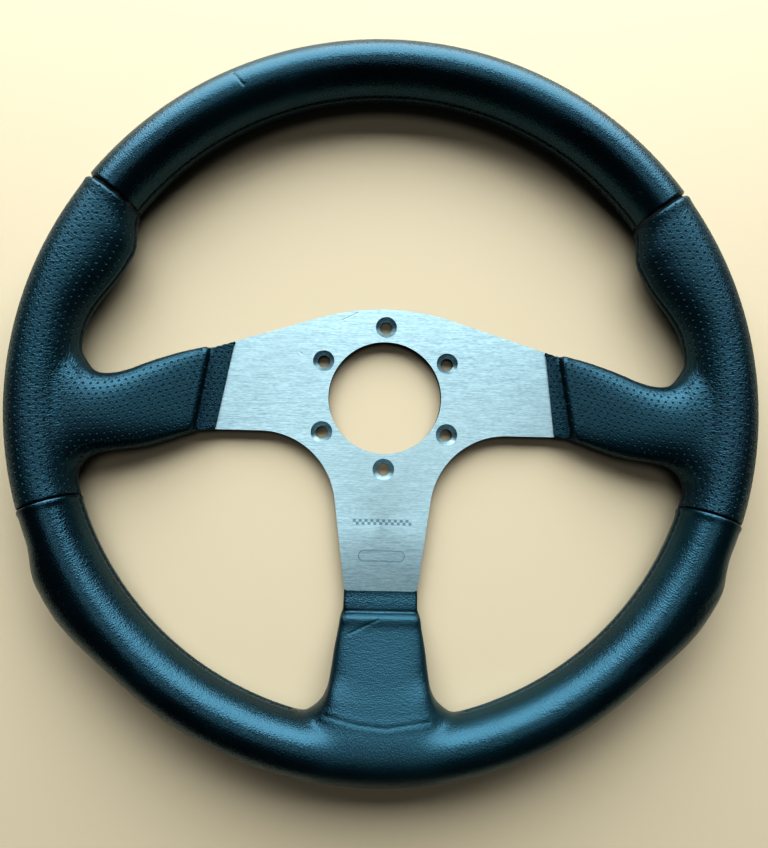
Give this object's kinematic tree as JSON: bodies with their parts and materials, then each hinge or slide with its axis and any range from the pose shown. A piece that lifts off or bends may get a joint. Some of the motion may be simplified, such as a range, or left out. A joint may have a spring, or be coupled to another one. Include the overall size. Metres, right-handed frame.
{
  "type": "three-spoke motorsport steering wheel",
  "caption": "Round three-spoke motorsport steering wheel with a brushed aluminium spoke plate, a bolt circle around an open hub bore, and a leather rim with perforated hand grips.",
  "frame": {"origin": "on the steering axis, in the plane that the back of the rim rests on", "axes": "+Z along the steering axis towards the driver, +Y to 12 o'clock, +X to the driver's right"},
  "size_m": [0.3514, 0.352, 0.033],
  "materials": {
    "brushed_aluminium": "horizontally brushed front face, black anodised edges and holes",
    "hoop_aluminium": "as rolled",
    "rivet_steel": "zinc plated",
    "moulded_foam": "moulded integral-skin foam",
    "smooth_leather": "fine-grained, semi-gloss, near black with a cool sheen",
    "perforated_leather": "fine-grained and perforated, near black with a cool sheen",
    "black_thread": "bonded sewing thread"
  },
  "bodies": {
    "root": {"spoke_plate": "brushed_aluminium", "rim_hoop": "hoop_aluminium", "rivet_right_lower": "rivet_steel", "rivet_left_lower": "rivet_steel", "rivet_bottom_left": "rivet_steel", "rivet_right_upper": "rivet_steel", "rivet_left_upper": "rivet_steel", "rivet_bottom_right": "rivet_steel", "foam_body": "moulded_foam", "leather_top": "smooth_leather", "leather_left_grip": "perforated_leather", "leather_bottom": "smooth_leather", "leather_right_grip": "perforated_leather", "seam_thread_top": "black_thread", "seam_thread_bottom_spoke": "black_thread", "seam_thread_right_grip": "black_thread", "seam_thread_right_lower_grip": "black_thread", "seam_thread_right_bottom": "black_thread", "seam_thread_left_grip": "black_thread", "seam_thread_left_lower_grip": "black_thread", "seam_thread_left_bottom": "black_thread"}
  },
  "joints": []
}
